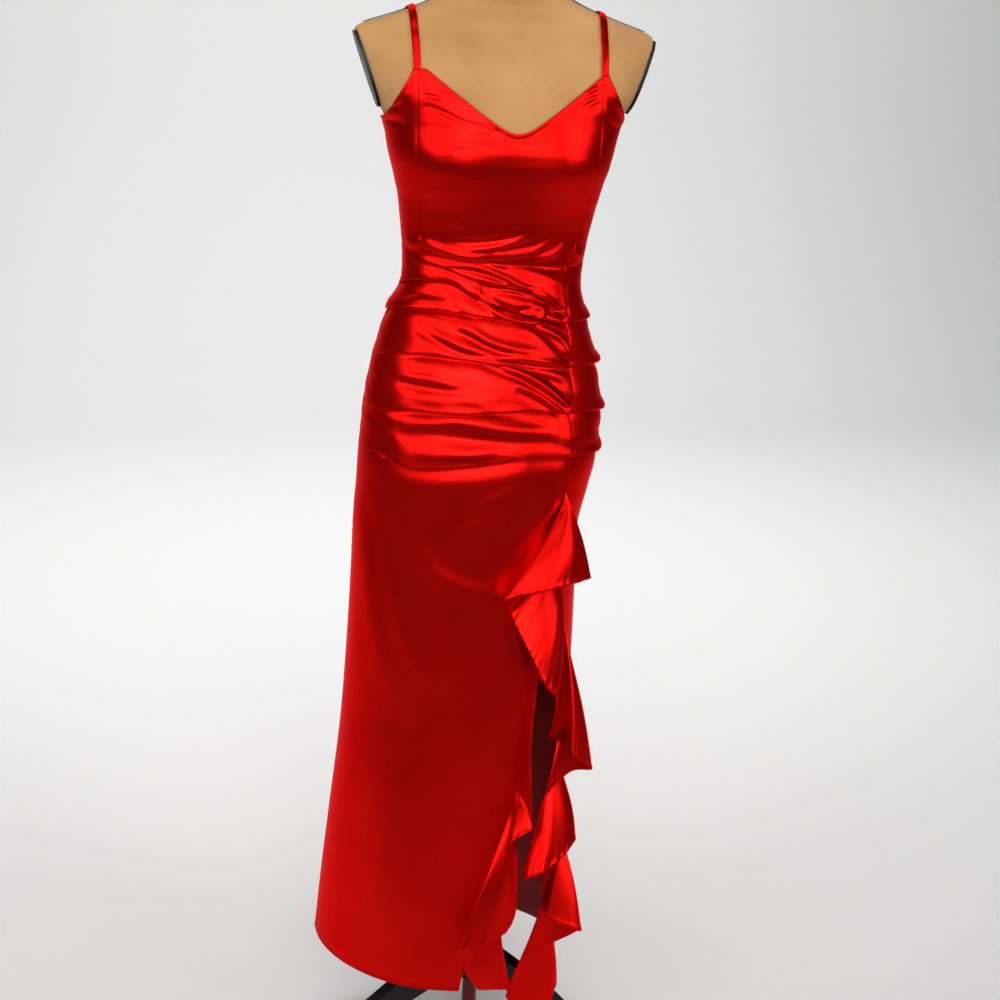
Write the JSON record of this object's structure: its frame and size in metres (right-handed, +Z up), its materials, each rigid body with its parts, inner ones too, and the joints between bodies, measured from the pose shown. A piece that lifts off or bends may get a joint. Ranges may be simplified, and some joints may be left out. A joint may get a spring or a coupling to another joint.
{
  "type": "slip dress on a dress form",
  "caption": "Red satin slip dress with thin straps, tucked hips and a ruffled side slit, worn by a limbless linen dress form on a tripod stand.",
  "frame": {"origin": "on the floor, in the middle of the space the part takes; the pole's axis is at x 0.022, y -0.047", "axes": "+Z up; the dress and the form face -Y, so +X is the wearer's left, where the skirt is slit"},
  "size_m": [0.5231, 0.5023, 1.6303],
  "materials": {
    "satin_red": "bright red stretch satin, smooth with soft wide highlights",
    "linen": "beige linen cover, matt with a plain weave",
    "black_paint": "gloss black",
    "dark_red_paint": "dark red lacquer"
  },
  "bodies": {
    "root": {"bodice_front": "satin_red", "bodice_side_front_left": "satin_red", "bodice_side_front_right": "satin_red", "bodice_back": "satin_red", "strap_left": "satin_red", "strap_right": "satin_red", "skirt_front": "satin_red", "skirt_side": "satin_red", "skirt_back": "satin_red", "ruffle_side": "satin_red", "ruffle_front": "satin_red", "form_body": "linen", "arm_plate_left": "black_paint", "arm_plate_right": "black_paint", "shoulder_cord_left": "black_paint", "shoulder_cord_right": "black_paint", "neck_cap": "black_paint", "seat_plate": "black_paint", "hub": "black_paint", "leg_1": "black_paint", "leg_2": "black_paint", "leg_3": "black_paint", "pole": "dark_red_paint"}
  },
  "joints": []
}
